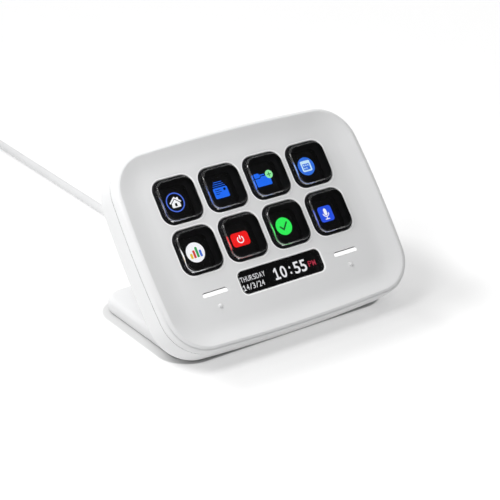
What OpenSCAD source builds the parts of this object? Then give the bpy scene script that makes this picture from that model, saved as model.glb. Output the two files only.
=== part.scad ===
// Display macro keypad on a fixed V stand: eight clear keys that press over one
// colour display, an information window, two lit bars with touch nubs, and a
// captive data lead put away in a coil. Millimetres. X right, Y back, Z up, with
// the origin on the table under the middle of the body and its stand.
// Face coordinates are x across, v up the face and n out of it, with zero at the
// middle of the key grid on the flat floor of the dish.

/* [Body] */
// Width of the body across the face
face_w = 109.2; // [108.6:0.2:110.6]
// Height of the body up the face
face_h = 78; // [76.8:0.2:78]
// Middle of the body up the face from the middle of the key grid
face_mid = -8.05; // [-8.05:0.05:-7.8]
// Corner radius of the body's outline
corner_r = 15.6; // [15:0.2:17]
// Lean of the face from level, in degrees
tilt = 50; // [48:1:52]
// Height of the middle of the key grid over the table
grid_h = 43.1; // [43.1:0.1:44.5]
// Place of the middle of the key grid along Y
grid_y = -2.8; // [-4:0.1:-1]
// Depth of the back of the body behind the dish floor
back_n = 15.4; // [15:0.1:15.4]
// Radius of the rounded edge round the back
back_r = 7.5; // [7.5:0.1:8.2]
// Wall thickness of the rear cover
wall = 1.8; // [1.5:0.1:2]
// Height of the rim's crest over the dish floor
crest_n = 2.5; // [2.3:0.05:2.6]

/* [Keys] */
// Distance between key centres
key_pitch = 19.5; // [19.4:0.05:19.6]
// Width of a key cap
key_w = 16.9; // [16.8:0.1:17.1]
// Corner radius of a key cap
key_r = 4.4; // [4.2:0.05:4.8]
// Level of a cap's black border over the dish floor
key_low = 0.3; // [0.2:0.05:0.4]
// How far a cap's clear cushion stands over the dish floor
key_up = 1.75; // [1.6:0.05:1.9]
// Width of a cap's clear cushion
key_top = 15.5; // [15.3:0.1:15.7]
// Gap between a cap and its opening
key_gap = 0.15; // [0.1:0.05:0.2]

/* [Windows] */
// Width of the information window
info_w = 36.5; // [35:0.5:37]
// Height of the information window
info_h = 8.8; // [8:0.1:9]
// Middle of the information window up the face
info_v = -26; // [-26.4:0.1:-25.8]
// Width of a lit bar
bar_w = 10.6; // [9:0.1:11.6]
// Height of a lit bar
bar_h = 1.85; // [1.4:0.05:2.4]
// Distance of the lit bars and nubs from the middle
bar_x = 29.25; // [29:0.05:29.5]
// Touch nub up the face
nub_v = -31.3; // [-31.8:0.1:-31]

/* [Stand] */
// Width of the stand's foot
foot_w = 90.6; // [90:0.2:93]
// Back edge of the stand's foot
foot_back = 33.7; // [33:0.1:35]
// Top of the stand's foot over the table
foot_top = 5.8; // [5.6:0.1:6]
// Width of the tongue that is screwed to the body
tongue_w = 60; // [50:2:64]

/* [Lead] */
// Diameter of the lead
lead_d = 3.4; // [3.2:0.1:3.6]

/* [Hidden] */
$fn = 48;
side_bow = 420;    // radius of the bow of the two short sides
top_bow = 780;     // radius of the bow of the two long sides
seam_n = -0.6;     // the seam between bezel and cover
seam = 0.1;
wall_n = -back_n + back_r;   // where the side wall meets the rounded back edge
cut_n = -back_n + wall;      // inner face of the cover's back
post_x = 43;                 // cover screws
post_v = [16.5, -32.5];
ear_x = 42.6;                // frame screws
ear_v = [5, -21];
board_x = 29;                // board screws
board_v = [13, -10];
stand_x = 20;                // stand screws
stand_v = -30;
exit_v = -19.5;              // the lead's way out of the cover
coil_x = -27.6;
coil_y = 236;
coil_m = 20.4;               // mean radius of the coil's turns
// the lead's route from the strain relief to the coil
ROUTE = concat([[0, 2.5, 13.3], [0, 4.9, 11.35], [0, 6.5, 10.2], [0, 8.4, 9.1], [0, 10.6, 8.3], [0, 13.2, 7.8], [0, 16, 7.65],
    [0, 21, 7.6], [0, 27, 7.6], [0, 33, 7.6], [0, 37, 7.3], [0, 42, 6.2], [-0.1, 47, 4.8], [-0.2, 54, 3.2],
    [-0.3, 61, 2.2], [-0.35, 69, 1.8]], [for (y = [78:10:228]) [-0.4, y, 1.7]]);
TAIL = [[-54.8, 228, 4.9], [-54.8, 224, 4.5], [-54.8, 220, 3.7], [-54.8, 216, 3.2], [-54.8, 212, 3]];

// ---- outlines and lofts ----
function arc(cx, cy, r, a0, a1, n) = [for (i = [0:n - 1]) let(a = a0 + (a1 - a0) * i / n) [cx + r * cos(a), cy + r * sin(a)]];
// a rounded rectangle whose sides bow outwards a little
function outline(w, h, r) =
    let(ya = h / 2 - r, xa = w / 2 - side_bow + sqrt(pow(side_bow - r, 2) - pow(ya, 2)),
        cy = h / 2 - top_bow + sqrt(pow(top_bow - r, 2) - pow(xa, 2)),
        cx = w / 2 - side_bow + sqrt(pow(side_bow - r, 2) - pow(cy, 2)),
        a = asin(cy / (side_bow - r)), b = asin(cx / (top_bow - r)))
    concat(arc(w / 2 - side_bow, 0, side_bow, -a, a, 4), arc(cx, cy, r, a, 90 - b, 8),
        arc(0, h / 2 - top_bow, top_bow, 90 - b, 90 + b, 5), arc(-cx, cy, r, 90 + b, 180 - a, 8),
        arc(side_bow - w / 2, 0, side_bow, 180 - a, 180 + a, 4), arc(-cx, -cy, r, 180 + a, 270 - b, 8),
        arc(0, top_bow - h / 2, top_bow, 270 - b, 270 + b, 5), arc(cx, -cy, r, 270 + b, 360 - a, 8));
// a ring of the body's outline: inset across and up, corner radius, level
function ring(ix, iy, r, n) = [for (p = outline(face_w - 2 * ix, face_h - 2 * iy, r)) [p[0], p[1] + face_mid, n]];
function plain(w, h, r, z) = [for (c = [[1, 1, 0], [-1, 1, 90], [-1, -1, 180], [1, -1, 270]]) for (i = [0:6])
    let(a = c[2] + 15 * i) [c[0] * (w / 2 - r) + r * cos(a), c[1] * (h / 2 - r) + r * sin(a), z]];
module loft(rings, closed = false) {
    m = len(rings[0]);
    k = len(rings);
    polyhedron(points = [for (r = rings) for (p = r) p],
        faces = concat(
            [for (i = [0:k - (closed ? 1 : 2)]) for (j = [0:m - 1])
                [i * m + j, ((i + 1) % k) * m + j, ((i + 1) % k) * m + (j + 1) % m, i * m + (j + 1) % m]],
            closed ? [] : [[for (j = [0:m - 1]) j], [for (j = [m - 1:-1:0]) (k - 1) * m + j]]),
        convexity = 6);
}
// a tube of round section swept along points
function unit(a) = a / norm(a);
function ahead(p, i) = unit(p[min(i + 1, len(p) - 1)] - p[max(i - 1, 0)]);
module sweep(p, d, sides = 8) {
    loft([for (i = [0:len(p) - 1]) let(t = ahead(p, i), s = unit(cross([1, 0, 0], t)), u = cross(t, s), q = d / 2)
        [for (j = [0:sides - 1]) let(a = 360 * j / sides + 22.5) p[i] + q * cos(a) * s + q * sin(a) * u]]);
}
module rsq(w, h, r) {
    square([w - 2 * r, h], center = true);
    square([w, h - 2 * r], center = true);
    for (x = [-1, 1]) for (y = [-1, 1]) translate([x * (w / 2 - r), y * (h / 2 - r)]) circle(r = r);
}
// a rounded block between two levels
module slab(w, h, r, n0, n1, x = 0, v = 0) {
    translate([x, v, n0]) linear_extrude(height = n1 - n0) rsq(w, h, r);
}
module rod(r, n0, n1, x = 0, v = 0) {
    translate([x, v, n0]) cylinder(r = r, h = n1 - n0);
}
// puts face coordinates in the part's frame
module face() {
    translate([0, grid_y, grid_h]) rotate([tilt, 0, 0]) children();
}
function place(v, n) = [v * cos(tilt) - n * sin(tilt) + grid_y, v * sin(tilt) + n * cos(tilt) + grid_h];
module key_places() {
    for (i = [-1.5:1:1.5]) for (j = [-0.5, 0.5]) translate([i * key_pitch, j * key_pitch, 0]) children();
}
module four(x, vs) {
    for (s = [-1, 1]) for (v = vs) translate([s * x, v, 0]) children();
}
// the body's outer shape behind the seam, grown by g
module body_solid(g) {
    loft(concat([for (a = [90:-15:0]) ring(back_r * (1 - cos(a)) - g * cos(a), back_r * (1 - cos(a)) - g * cos(a),
        corner_r - back_r * (1 - cos(a)), wall_n - (back_r + g) * sin(a))], [ring(-g, -g, corner_r, seam_n - seam)]));
}

// ---- casing ----
module front_bezel() {
    w = 1.6;
    color("white") face() difference() {
        union() {
            loft([ring(0, 0, corner_r, seam_n), ring(0.05, 0.05, corner_r, -0.1), ring(0.25, 0.22, corner_r, 0.75),
                ring(0.8, 0.55, corner_r - 0.45, 1.6), ring(1.6, 1.05, corner_r - 1, crest_n - 0.25), ring(2.55, 1.65, corner_r - 1.65, crest_n),
                ring(3.45, 2.25, corner_r - 2.2, crest_n - 0.3), ring(4.7, 3.15, corner_r - 3.15, 1.74), ring(6.1, 4.15, corner_r - 4.15, 1.27),
                ring(7.7, 5.35, corner_r - 5.2, 0.79), ring(9.5, 6.8, corner_r - 6.3, 0.35), ring(11.6, 8.5, corner_r - 7.3, 0.07),
                ring(13.2, 10.2, corner_r - 8.1, 0),
                ring(13.2, 10.2, corner_r - 8.1, -1.2), ring(8.2, 7.2, corner_r - 6, -0.9), ring(5.2, 4.2, corner_r - 4, -0.1),
                ring(3.2, 2.6, corner_r - 2.6, 0.7), ring(w, w, corner_r - w, 0.2), ring(w, w, corner_r - w, seam_n)], closed = true);
            slab(face_w - 26.2, face_h - 20.2, corner_r - 8.2, -1.2, -0.02, 0, face_mid);
            four(post_x, post_v) rod(2.4, -8, -0.6);
            four(ear_x, ear_v) rod(2, -6.95, -0.6);
            for (s = [-1, 1]) translate([s * bar_x, nub_v, -0.1]) sphere(r = 0.88, $fn = 24);
        }
        key_places() slab(key_w + 2 * key_gap, key_w + 2 * key_gap, key_r + key_gap, -3, 3);
        slab(info_w + 0.1, info_h + 0.1, 2.25, -3, 3, 0, info_v);
        for (s = [-1, 1]) slab(bar_w, bar_h, bar_h / 2 - 0.01, -3, 3, s * bar_x, info_v - 0.15);
        for (s = [-1, 1]) translate([s * bar_x, nub_v, -3]) cylinder(r = 1.2, h = 1.8);
        four(post_x, post_v) rod(0.83, -9, -2.6);
        four(ear_x, ear_v) rod(0.68, -8, -2.6);
    }
}

module rear_cover() {
    ri = back_r - wall;
    color("whitesmoke") face() difference() {
        union() {
            loft(concat(
                [for (a = [90:-15:0]) ring(back_r * (1 - cos(a)), back_r * (1 - cos(a)), corner_r - back_r * (1 - cos(a)), wall_n - back_r * sin(a))],
                [ring(0, 0, corner_r, seam_n - seam), ring(wall, wall, corner_r - wall, seam_n - seam)],
                [for (a = [0:15:90]) ring(wall + ri * (1 - cos(a)), wall + ri * (1 - cos(a)), corner_r - wall - ri * (1 - cos(a)), wall_n - ri * sin(a))]));
            four(post_x, post_v) rod(3, cut_n - 0.5, -8.1);
            for (s = [-1, 1]) rod(2.6, cut_n - 0.5, -8.7, s * stand_x, stand_v);
            rod(5, cut_n - 0.5, cut_n + 0.8, 0, exit_v);
        }
        four(post_x, post_v) {
            rod(1.15, -back_n - 1, -7);
            rod(2.1, -back_n - 1, -back_n + 1.9);
        }
        for (s = [-1, 1]) rod(0.98, -back_n - 1, -9.4, s * stand_x, stand_v);
        rod(2.6, -back_n - 1, -9, 0, exit_v);
    }
}

module cover_screws() {
    color("dimgray") face() four(post_x, post_v) difference() {
        union() {
            rod(1.9, -back_n + 0.2, -back_n + 1.85);
            rod(0.8, -back_n + 1.8, -3.2);
        }
        rod(0.9, -back_n, -back_n + 1, 0, 0, $fn = 6);
    }
}

// ---- keys ----
function cushion(o, n) = plain(key_top - 2 * o, key_top - 2 * o, key_r - 0.6 - o, n);
module key_cap(i, j) {
    color([0.12, 0.12, 0.14, 0.55]) face() translate([(i - 1.5) * key_pitch, (0.5 - j) * key_pitch, 0]) {
        slab(key_w, key_w, key_r, -2, key_low);
        slab(key_w + 1.2, key_w + 1.2, key_r + 0.6, -2, -1.3);
        loft(concat([cushion(0, key_low - 0.5)], [for (a = [0, 24, 48, 69, 90]) cushion(0.8 * (1 - cos(a)), key_up - 0.8 + 0.8 * sin(a))]));
    }
}
module key_1() { key_cap(0, 0); }
module key_2() { key_cap(1, 0); }
module key_3() { key_cap(2, 0); }
module key_4() { key_cap(3, 0); }
module key_5() { key_cap(0, 1); }
module key_6() { key_cap(1, 1); }
module key_7() { key_cap(2, 1); }
module key_8() { key_cap(3, 1); }

module key_guide() {
    color("black") face() difference() {
        slab(4 * key_pitch + 0.5, 2 * key_pitch + 0.5, 1, -3.1, -1.25);
        key_places() slab(key_pitch - 0.5, key_pitch - 0.5, key_r + 0.6, -4, 0);
    }
}
module spring_rings() {
    color("gainsboro") face() key_places() difference() {
        slab(key_pitch - 0.9, key_pitch - 0.9, key_r + 0.4, -3.08, -2.05);
        slab(14.5, 14.5, 2, -4, 0);
    }
}
module contact_sheet() {
    color("peru") face() difference() {
        slab(4 * key_pitch + 0.3, 2 * key_pitch + 0.3, 1, -3.27, -3.13);
        key_places() slab(14.5, 14.5, 2, -4, 0);
    }
}

// ---- windows and touch points ----
module info_window() {
    color([0.05, 0.05, 0.06, 0.8]) face() {
        slab(info_w, info_h, 2.2, -1.75, -0.05, 0, info_v);
        slab(info_w + 1.6, info_h + 1.6, 2.8, -1.75, -1.25, 0, info_v);
    }
}
module light_window(s) {
    color("white") face() translate([s * bar_x, info_v - 0.15, 0]) {
        slab(bar_w - 0.1, bar_h - 0.1, bar_h / 2 - 0.06, -1.6, -0.1);
        slab(bar_w + 1.6, bar_h + 1.5, 1.2, -1.6, -1.22);
    }
}
module light_window_left() { light_window(-1); }
module light_window_right() { light_window(1); }
module touch_films() {
    color("goldenrod") face() for (s = [-1, 1]) difference() {
        slab(15, 11, 1.5, -1.4, -1.25, s * bar_x, -28.6);
        slab(12.6, 3.8, 1.3, -2, 0, s * bar_x, info_v - 0.15);
    }
}

// ---- display ----
module lcd_glass() {
    color("black") face() slab(77, 54.1, 0.8, -4.7, -3.3, 0, -6.75);
}
module lcd_backlight() {
    color("silver") face() difference() {
        slab(76.6, 53.7, 1, -6.9, -4.75, 0, -6.75);
        slab(72, 49.5, 0.6, -6.6, -6.2, 0, -6.75);
    }
}
module lcd_frame() {
    color("dimgray") face() difference() {
        union() {
            slab(80.5, 57.3, 1.6, -8, -1.5, 0, -6.75);
            four(ear_x, ear_v) rod(2.3, -8, -7);
            for (s = [-1, 1]) for (v = ear_v) translate([s * 41 - 1.6, v - 2.3, -8]) cube([3.2, 4.6, 1]);
            four(board_x, board_v) rod(2.2, -8.95, -7.9);
        }
        slab(78.9, 55.7, 1, -6.95, 0, 0, -6.75);
        translate([-11.5, -40, -6.95]) cube([23, 8, 7]);
        four(ear_x, ear_v) rod(0.95, -9, -6);
        four(ear_x, ear_v) rod(2.05, -6.98, -1);
        four(board_x, board_v) rod(0.78, -10, -7.1);
    }
}
module lcd_flex() {
    color("orange") face() translate([-10, 0, 0]) rotate([90, 0, 90]) linear_extrude(height = 20) {
        translate([-36, -4.6]) square([2.15, 0.15]);
        translate([-36, -8.4]) square([23.1, 0.15]);
        difference() {
            translate([-36, -6.425]) circle(r = 1.975);
            translate([-36, -6.425]) circle(r = 1.825);
            translate([-36, -12]) square([12, 12]);
        }
    }
}
module frame_screws() {
    color("silver") face() four(ear_x, ear_v) {
        rod(1.5, -8.9, -8.03);
        rod(0.65, -8.1, -3.4);
    }
}

// ---- electronics ----
module main_board() {
    color("darkgreen") face() difference() {
        slab(64, 30, 1.5, -10, -9, 0, 1.3);
        four(board_x, board_v) rod(0.95, -11, -8);
    }
}
module board_chips() {
    color([0.15, 0.15, 0.16]) face() {
        slab(9, 9, 0.2, -11, -10.02, -10, 5);
        slab(5, 6, 0.2, -10.9, -10.02, 3, 7);
        slab(4, 4, 0.2, -10.8, -10.02, 12, 2);
        slab(3.2, 2.5, 0.2, -10.7, -10.02, -20, 6);
        slab(3, 3, 0.3, -11, -10.02, 20, 8);
        slab(6, 3.5, 0.3, -10.8, -10.02, 20, -4);
        for (i = [0:4]) slab(1.6, 0.8, 0.1, -10.6, -10.02, -22 + 3 * i, -3);
    }
}
module flex_connector() {
    color("ivory") face() slab(22, 4, 0.4, -8.98, -8.12, 0, -10.85);
}
module lead_connector() {
    color("ivory") face() slab(7, 4, 0.4, -11.4, -10.03, 0, -10.6);
}
module board_screws() {
    color("silver") face() four(board_x, board_v) {
        rod(1.5, -10.85, -10.03);
        rod(0.74, -10.1, -7.5);
    }
}
module inner_leads() {
    color("firebrick") face() for (i = [-1.5:1:1.5])
        translate([1.1 * i, exit_v + 3.25, -10.7]) rotate([-90, 0, 0]) cylinder(r = 0.35, h = 3.6, $fn = 16);
}

// ---- lead ----
module strain_relief() {
    color("white") face() translate([0, exit_v, 0]) {
        translate([0, 0, cut_n + 0.85]) cylinder(r = 3.2, h = 3.1);
        translate([0, 0, -back_n - 0.3]) cylinder(r = 2.55, h = wall + 1.2);
        translate([0, 0, -back_n - 1]) cylinder(r = 3.3, h = 0.95);
        translate([0, 0, -back_n - 11]) rotate_extrude() polygon([[0, 0], [2.1, 0], [2.2, 1], [2.9, 9.6], [2.9, 10.2], [0, 10.2]]);
    }
}
module cord_tube() {
    color("white") sweep(ROUTE, lead_d);
}
module cord_coil() {
    color("white") translate([coil_x, coil_y, 0]) rotate_extrude($fn = 64)
        translate([coil_m - 2.5 * lead_d, 0]) square([5 * lead_d, 2 * lead_d]);
}
module cord_tie() {
    color("dimgray") translate([coil_x - 4, coil_y + coil_m, 0]) difference() {
        translate([0, -9.5, 0]) cube([8, 19, 7.8]);
        translate([-1, -8.6, 0.4]) cube([10, 17.2, 6.6]);
    }
}
module cord_tail() {
    color("white") sweep(TAIL, lead_d);
}
module plug_boot() {
    color("white") translate([TAIL[4][0], TAIL[4][1] + 2, 3]) rotate([90, 0, 0])
        rotate_extrude() polygon([[0, 0], [1.95, 0], [2.7, 10], [0, 10]]);
}
module plug_body() {
    color("white") translate([TAIL[4][0], TAIL[4][1] - 8, 3]) rotate([90, 0, 0]) slab(11, 6, 2.5, 0.02, 18);
}
module plug_shell() {
    color("silver") translate([TAIL[4][0], TAIL[4][1] - 8, 3]) rotate([90, 0, 0]) difference() {
        slab(8.3, 2.6, 1.28, 18.02, 24.6);
        slab(7.6, 1.9, 0.93, 18.6, 26);
    }
}

// ---- stand ----
module stand_foot() {
    mid = (foot_back - 21) / 2;
    len_y = foot_back + 21;
    color("white") difference() {
        union() {
            translate([0, mid, 0]) loft([plain(foot_w - 1.2, len_y - 1.2, 6.9, 0.4), plain(foot_w, len_y, 7.5, 0.9),
                plain(foot_w, len_y, 7.5, foot_top - 2.1), plain(foot_w - 0.6, len_y - 0.6, 7.2, foot_top - 1.1),
                plain(foot_w - 2, len_y - 2, 6.5, foot_top - 0.35), plain(foot_w - 4, len_y - 4, 5.5, foot_top)]);
            // the tongue lies against the back of the body, with a gusset to the foot
            translate([-tongue_w / 2, 0, 0]) rotate([90, 0, 90]) linear_extrude(height = tongue_w) polygon([
                place(-42, -back_n + 1), place(-25, -back_n + 1), place(-25, -back_n - 2), place(-26, -back_n - 3),
                place(-36.2, -back_n - 3), [place(-36.2, -back_n - 3)[0] + 7, foot_top - 0.2], [2, foot_top - 1.5], [-14, 1.5]]);
        }
        face() body_solid(0.08);
        translate([0, 6, 0]) {
            linear_extrude(height = 0.75) rsq(86.4, 46.4, 6.2);
            translate([0, 0, 0.4]) linear_extrude(height = 3.3) rsq(80.4, 40.4, 3.2);
        }
        face() for (s = [-1, 1]) {
            rod(1.15, -30, -10, s * stand_x, stand_v);
            rod(2.15, -30, -back_n - 1.4, s * stand_x, stand_v);
        }
    }
}
module stand_screws() {
    color("dimgray") face() for (s = [-1, 1]) translate([s * stand_x, stand_v, 0]) difference() {
        union() {
            rod(1.95, -back_n - 2.8, -back_n - 1.43);
            rod(0.96, -back_n - 1.5, -9.7);
        }
        rod(0.9, -back_n - 3, -back_n - 2, 0, 0, $fn = 6);
    }
}
module ballast_plate() {
    color("slategray") translate([0, 6, 0.78]) linear_extrude(height = 2.85) rsq(80, 40, 3);
}
module foot_pad() {
    color("gray") translate([0, 6, 0]) linear_extrude(height = 0.72) rsq(86, 46, 6);
}

front_bezel();
rear_cover();
key_1();
key_2();
key_3();
key_4();
key_5();
key_6();
key_7();
key_8();
key_guide();
spring_rings();
contact_sheet();
info_window();
light_window_left();
light_window_right();
touch_films();
lcd_glass();
lcd_backlight();
lcd_frame();
lcd_flex();
frame_screws();
main_board();
board_chips();
flex_connector();
lead_connector();
board_screws();
inner_leads();
strain_relief();
cover_screws();
stand_foot();
stand_screws();
ballast_plate();
foot_pad();
cord_tube();
cord_coil();
cord_tie();
cord_tail();
plug_boot();
plug_body();
plug_shell();
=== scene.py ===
import math

import bmesh
import bpy
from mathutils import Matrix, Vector
from mathutils.geometry import delaunay_2d_cdt


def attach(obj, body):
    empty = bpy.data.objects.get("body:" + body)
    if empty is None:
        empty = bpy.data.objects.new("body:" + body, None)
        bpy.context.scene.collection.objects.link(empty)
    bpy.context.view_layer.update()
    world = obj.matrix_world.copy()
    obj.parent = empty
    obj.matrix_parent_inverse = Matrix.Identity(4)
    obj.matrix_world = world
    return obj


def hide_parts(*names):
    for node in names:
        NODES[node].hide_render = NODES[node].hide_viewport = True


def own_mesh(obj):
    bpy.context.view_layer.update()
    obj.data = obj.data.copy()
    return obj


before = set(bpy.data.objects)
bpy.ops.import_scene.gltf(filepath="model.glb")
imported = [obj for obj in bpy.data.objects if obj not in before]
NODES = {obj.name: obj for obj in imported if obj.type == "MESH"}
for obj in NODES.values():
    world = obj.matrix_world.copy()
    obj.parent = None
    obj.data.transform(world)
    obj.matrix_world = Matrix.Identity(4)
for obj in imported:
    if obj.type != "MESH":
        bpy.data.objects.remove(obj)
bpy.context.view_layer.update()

scene = bpy.context.scene
MM = 0.001

# ---------------------------------------------------------------- the part's own numbers, in millimetres
TILT = math.radians(50)
CT, ST = math.cos(TILT), math.sin(TILT)
GRID_Y, GRID_Z = -2.8, 43.1
FACE_W, FACE_H, FACE_MID, CORNER = 109.2, 78.0, -8.05, 15.6
SIDE_BOW, TOP_BOW = 420.0, 780.0
BACK_N, BACK_R, WALL = 15.4, 7.5, 1.8
SEAM_N = -0.6
PITCH, KEY_W, KEY_R, KEY_GAP = 19.5, 16.9, 4.4, 0.15
KEY_LOW, KEY_UP, KEY_TOP, KEY_EDGE = 0.3, 1.75, 15.5, 0.8
INFO_W, INFO_H, INFO_V = 36.5, 8.8, -26.0
BAR_W, BAR_H, BAR_X, NUB_V = 10.6, 1.85, 29.25, -31.3
POST_X, POST_V = 43.0, (16.5, -32.5)
STAND_X, STAND_V, EXIT_V = 20.0, -30.0, -19.5
FOOT_W, FOOT_FRONT, FOOT_BACK, FOOT_TOP, TONGUE_W = 90.6, -21.0, 33.7, 5.8, 60.0
LEAD_D, COIL_X, COIL_Y = 3.4, -27.6, 236.0
LCD_N = -3.3


def F(x, v, n):
    """A point given across, up and out of the face, in the row frame."""
    return Vector((x * MM, (v * CT - n * ST + GRID_Y) * MM, (v * ST + n * CT + GRID_Z) * MM))


def P(x, y, z):
    return Vector((x * MM, y * MM, z * MM))


# ---------------------------------------------------------------- camera
az, el = math.radians(-35.34), math.radians(25.16)
back = Vector((math.sin(az) * math.cos(el), -math.cos(az) * math.cos(el), math.sin(el)))
cam = bpy.data.objects.new("camera", bpy.data.cameras.new("camera"))
scene.collection.objects.link(cam)
cam.data.lens, cam.data.sensor_width = 119.16, 36
cam.data.clip_start, cam.data.clip_end = 0.01, 20
cam.location = (-0.321416, -0.452841, 0.284998)
cam.rotation_mode = "QUATERNION"
cam.rotation_quaternion = (-back).to_track_quat("-Z", "Y")
scene.camera = cam


# ---------------------------------------------------------------- materials
def linear(c):
    return tuple(x / 12.92 if x <= 0.04045 else ((x + 0.055) / 1.055) ** 2.4 for x in c)


def node(tree, kind, **inputs):
    n = tree.nodes.new(kind)
    for k, v in inputs.items():
        n.inputs[k.replace("_", " ")].default_value = v
    return n


def finish_of(name, colour, rough, spread=0.05, grain=900.0, bump=0.0, bump_scale=2500.0, metal=0.0, shade=0.06,
              spec=0.5, coat=0.0, coat_rough=0.1, sheen=0.0, stretch=(1, 1, 1), subsurface=0.0, glow=0.0):
    """A moulded, rubbery or metal finish: colour and roughness drift a little over the surface, with a fine relief."""
    m = bpy.data.materials.new(name)
    m.use_nodes = True
    t = m.node_tree
    t.nodes.clear()
    out = t.nodes.new("ShaderNodeOutputMaterial")
    b = t.nodes.new("ShaderNodeBsdfPrincipled")
    t.links.new(b.outputs["BSDF"], out.inputs["Surface"])
    pos = t.nodes.new("ShaderNodeTexCoord")
    stretch_map = t.nodes.new("ShaderNodeMapping")
    stretch_map.inputs["Scale"].default_value = stretch
    t.links.new(pos.outputs["Object"], stretch_map.inputs["Vector"])
    big = node(t, "ShaderNodeTexNoise", Scale=45.0, Detail=3.0, Roughness=0.55)
    fine = node(t, "ShaderNodeTexNoise", Scale=grain, Detail=2.0, Roughness=0.6)
    t.links.new(stretch_map.outputs["Vector"], big.inputs["Vector"])
    t.links.new(stretch_map.outputs["Vector"], fine.inputs["Vector"])
    ramp = t.nodes.new("ShaderNodeValToRGB")
    lo, hi = [max(0.0, c * (1 - shade)) for c in colour], [min(1.0, c * (1 + shade)) for c in colour]
    ramp.color_ramp.elements[0].position, ramp.color_ramp.elements[0].color = 0.3, (*lo, 1)
    ramp.color_ramp.elements[1].position, ramp.color_ramp.elements[1].color = 0.7, (*hi, 1)
    t.links.new(big.outputs["Fac"], ramp.inputs["Fac"])
    t.links.new(ramp.outputs["Color"], b.inputs["Base Color"])
    rr = node(t, "ShaderNodeMapRange")
    rr.inputs["From Min"].default_value, rr.inputs["From Max"].default_value = 0.3, 0.7
    rr.inputs["To Min"].default_value, rr.inputs["To Max"].default_value = max(0.0, rough - spread), min(1.0, rough + spread)
    t.links.new(fine.outputs["Fac"], rr.inputs["Value"])
    t.links.new(rr.outputs["Result"], b.inputs["Roughness"])
    b.inputs["Metallic"].default_value = metal
    b.inputs["Specular IOR Level"].default_value = spec
    b.inputs["Coat Weight"].default_value = coat
    b.inputs["Coat Roughness"].default_value = coat_rough
    b.inputs["Sheen Weight"].default_value = sheen
    b.inputs["Emission Color"].default_value = (1.0, 1.0, 1.0, 1)
    b.inputs["Emission Strength"].default_value = glow
    if subsurface:
        b.inputs["Subsurface Weight"].default_value = subsurface
        b.inputs["Subsurface Radius"].default_value = (1.0, 0.9, 0.8)
        b.inputs["Subsurface Scale"].default_value = 0.0006
    if bump:
        relief = node(t, "ShaderNodeTexNoise", Scale=bump_scale, Detail=3.0, Roughness=0.5)
        t.links.new(stretch_map.outputs["Vector"], relief.inputs["Vector"])
        bp = node(t, "ShaderNodeBump", Strength=bump, Distance=0.00003)
        t.links.new(relief.outputs["Fac"], bp.inputs["Height"])
        t.links.new(bp.outputs["Normal"], b.inputs["Normal"])
    return m


def clear_of(name, colour, rough, ior=1.49, streak=0.0, spec=0.5):
    """Clear polished plastic, with the faint unevenness of a moulded face."""
    m = bpy.data.materials.new(name)
    m.use_nodes = True
    t = m.node_tree
    t.nodes.clear()
    out = t.nodes.new("ShaderNodeOutputMaterial")
    b = t.nodes.new("ShaderNodeBsdfPrincipled")
    t.links.new(b.outputs["BSDF"], out.inputs["Surface"])
    pos = t.nodes.new("ShaderNodeTexCoord")
    noise = node(t, "ShaderNodeTexNoise", Scale=700.0, Detail=2.0)
    t.links.new(pos.outputs["Object"], noise.inputs["Vector"])
    rr = node(t, "ShaderNodeMapRange")
    rr.inputs["To Min"].default_value, rr.inputs["To Max"].default_value = rough * 0.6, rough * 1.6
    t.links.new(noise.outputs["Fac"], rr.inputs["Value"])
    t.links.new(rr.outputs["Result"], b.inputs["Roughness"])
    ramp = t.nodes.new("ShaderNodeValToRGB")
    ramp.color_ramp.elements[0].color = (*[c * 0.97 for c in colour], 1)
    ramp.color_ramp.elements[1].color = (*colour, 1)
    t.links.new(noise.outputs["Fac"], ramp.inputs["Fac"])
    t.links.new(ramp.outputs["Color"], b.inputs["Base Color"])
    b.inputs["Transmission Weight"].default_value = 1.0
    b.inputs["IOR"].default_value = ior
    b.inputs["Specular IOR Level"].default_value = spec
    if streak:
        wave = node(t, "ShaderNodeTexNoise", Scale=180.0, Detail=1.0)
        t.links.new(pos.outputs["Object"], wave.inputs["Vector"])
        bp = node(t, "ShaderNodeBump", Strength=streak, Distance=0.0002)
        t.links.new(wave.outputs["Fac"], bp.inputs["Height"])
        t.links.new(bp.outputs["Normal"], b.inputs["Normal"])
    return m


def lit(name, colour, strength):
    """A lit patch of display: even light with the faint unevenness of a backlight."""
    m = bpy.data.materials.new(name)
    m.use_nodes = True
    t = m.node_tree
    t.nodes.clear()
    out = t.nodes.new("ShaderNodeOutputMaterial")
    b = t.nodes.new("ShaderNodeBsdfPrincipled")
    t.links.new(b.outputs["BSDF"], out.inputs["Surface"])
    pos = t.nodes.new("ShaderNodeTexCoord")
    noise = node(t, "ShaderNodeTexNoise", Scale=240.0, Detail=1.0)
    t.links.new(pos.outputs["Object"], noise.inputs["Vector"])
    ramp = t.nodes.new("ShaderNodeValToRGB")
    ramp.color_ramp.elements[0].color = (*[c * 0.96 for c in colour], 1)
    ramp.color_ramp.elements[1].color = (*colour, 1)
    t.links.new(noise.outputs["Fac"], ramp.inputs["Fac"])
    t.links.new(ramp.outputs["Color"], b.inputs["Emission Color"])
    b.inputs["Emission Strength"].default_value = strength
    b.inputs["Base Color"].default_value = (*[c * 0.1 for c in colour], 1)
    b.inputs["Roughness"].default_value = 0.4
    return m


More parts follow.
